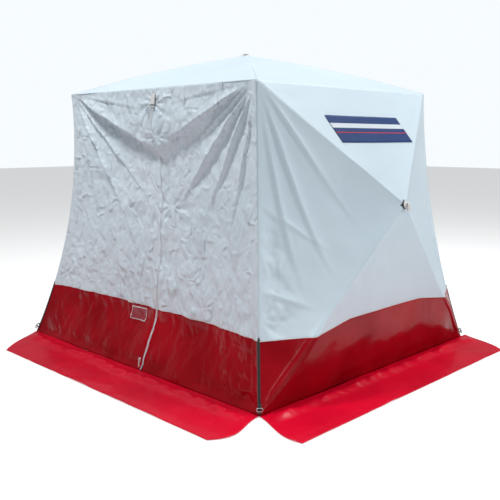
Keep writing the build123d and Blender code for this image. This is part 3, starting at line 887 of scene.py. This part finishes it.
flap_x, flap_y = 0.360, 0.375
outer_x, outer_y = base_x + flap_x, base_y + flap_y
flap_outlines = {
    "right": ((base_x, -base_y), (outer_x, -base_y - 0.085), (outer_x, base_y - 0.105),
              (base_x, base_y + 0.060)),
    "door": ((-base_x, -base_y), (-base_x + 0.280, -outer_y), (base_x + 0.015, -outer_y),
             (base_x - 0.005, -base_y)),
    "left": ((-base_x, base_y), (-outer_x, base_y - 0.150), (-outer_x, -base_y + 0.345),
             (-base_x, -base_y)),
    "back": ((base_x, base_y), (base_x - 0.345, outer_y), (-base_x + 0.150, outer_y),
             (-base_x, base_y)),
}
flap_bows = {
    "right": (0.034, 0.02),
    "door": (0.02, 0.060),
    "left": (0.03, 0.02),
    "back": (0.02, 0.03),
}
for name, outline in flap_outlines.items():
    in_first, out_first, out_last, in_last = [Vector((*point, 0.0)) for point in outline]

    def flap_shape(u, v):
        inner, outer = in_first.lerp(in_last, u), out_first.lerp(out_last, u)
        first_bow, last_bow = flap_bows[name]
        bow = sin(pi * v**1.7) * (last_bow * exp(-(1 - u) * 14) - first_bow * exp(-u * 14))
        point = inner.lerp(outer, v) + (in_last - in_first).normalized() * bow
        pucker = exp(-(((v - 0.24 - 0.05 * ripple(point, 3.0, 1.0)) / 0.10) ** 2))
        knots = 0.35 + 0.8 * noise.turbulence(Vector((point.x * 7, point.y * 7, 2)), 3, True)
        edge = smooth(0.0, 0.05, u) * smooth(0.0, 0.05, 1 - u)
        wave = 0.5 + 0.5 * ripple(point, 4.0, 6.0)
        point.z = 0.003 + 0.005 * wave * smooth(1.0, 0.8, v)
        point.z += edge * (0.030 * pucker * knots + 0.003 * wave)
        point.z += 0.010 * max(0.0, ripple(point, 7.0, 3.0)) * smooth(0.5, 1.0, v) * edge
        return point, u, v

    flap = panel(f"{name}_flap", flap_shape, 200, 36, flap_vinyl, None,
                 Vector((0, 0, 1)), 0.0016)
    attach(flap, "shelter")
    cut = [in_first, out_first, out_last, in_last]
    declare_sheet(cut, (in_last - in_first).cross(Vector((0, 0, 1))))
    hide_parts(f"{name}_ground_flap")

# ---------------------------------------------------------------- corner bindings
# Black tape bound over the corner seams of the skirt, with a short point above it
# and a loop at its foot that carries the ring.
black_webbing = webbing_finish(
    "black_webbing", rgba(0.008, 0.008, 0.009), rgba(0.035, 0.035, 0.037)
)

for side, tag in zip(corners, ("front_right", "back_right", "back_left", "front_left")):
    out = Vector((side[0], side[1], 0)).normalized()
    sideways = Vector((-out.y, out.x, 0))

    def tape_shape(u, v):
        z = 0.012 + 0.372 * u
        wrap = (v - 0.5) * 2
        half = 0.011 * (1 - 0.75 * smooth(0.92, 1.0, u))
        point = corner_seam(side, z) + sideways * wrap * half
        return point - out * abs(wrap) * half * 0.9 + out * 0.0035, u, v

    tape = panel(f"binding_{tag}", tape_shape, 60, 6, black_webbing, None, out,
                 0.0015)
    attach(tape, "shelter")

    def loop_shape(u, v):
        turn = 2 * pi * u
        point = corner_seam(side, 0.052) + out * (0.010 + 0.009 * cos(turn))
        point.z += 0.013 * sin(turn)
        return point + sideways * (v - 0.5) * 0.020, u, v

    loop = panel(f"ring_loop_{tag}", loop_shape, 28, 4, black_webbing, None, out,
                 0.0014)
    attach(loop, "shelter")
    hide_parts("corner_webbing")

# ---------------------------------------------------------------- hardware
# Moulded nylon hubs and corner fittings, steel pins and rings, brass eyelets and a
# moulded zip slider. They keep their CAD shapes and get their finishes.
nylon = Finish("hub_plastic", Specular_IOR_Level=0.5)
nylon.tint(40.0, rgba(0.012, 0.012, 0.014), rgba(0.03, 0.03, 0.033))
nylon.polish(0.35, 0.2, 120.0)
nylon.feed("Normal", nylon.bump(nylon.grain(500.0), 0.0003, 0.4))

white_nylon = Finish("white_plastic", Specular_IOR_Level=0.5)
white_nylon.tint(30.0, rgba(0.72, 0.73, 0.73), rgba(0.84, 0.84, 0.83))
white_nylon.polish(0.28, 0.2, 90.0)

brass = Finish("eyelet_brass", Metallic=1.0)
brass.tint(60.0, rgba(0.34, 0.27, 0.14), rgba(0.56, 0.47, 0.27))
brass.polish(0.3, 0.3, 120.0)


def paint_node(node, finish):
    """Give a CAD node's own mesh a finish."""
    data = nodes[node].data
    data.materials.clear()
    data.materials.append(finish.material)


for name in ("right", "back", "left", "roof"):
    paint_node(f"{name}_hub_spider", nylon)
    paint_node(f"{name}_hub_pins", steel)
    paint_node(f"{name}_hub_cap", white_nylon)
    if name != "roof":
        paint_node(f"{name}_pull_loop", white_webbing)
paint_node("corner_fittings", nylon)
paint_node("door_top_tab", white_webbing)
low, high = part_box("door_top_tab")


# A thin black strip across the top tab, a little above its lower end.
def dark_line_shape(u, v):
    x = low[0] + (high[0] - low[0]) * u
    return Vector((x, low[1] - 0.0008, low[2] + 0.010 + 0.006 * v)), u, v


dark_line = panel("tab_dark_line", dark_line_shape, 8, 2, black_webbing, None,
               door_out, 0.0008)
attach(dark_line, "door_left")
paint_node("stake_eyelets", brass)
paint_node("zip_slider", white_nylon)
paint_node("zip_pull", white_nylon)
for name in ("front_right", "back_right", "back_left", "front_left"):
    paint_node(f"corner_ring_{name}", steel)


# ---------------------------------------------------------------- floor
# Plain pale ground, lifted a little where the camera sees it, so that it reads as
# part of the surround.
snow = Finish("plain_floor", Specular_IOR_Level=0.1)
snow.tint(0.8, rgba(0.90, 0.90, 0.90), rgba(0.93, 0.93, 0.93))
snow.polish(0.8, 0.1, 3.0)
seen = snow.node("ShaderNodeLightPath", {}, {}, "Is Camera Ray")
snow.feed("Emission Strength", seen * 0.45)
snow.surface.inputs["Emission Color"].default_value = (1, 1, 1, 1)
floor_object.data.materials.append(snow.material)
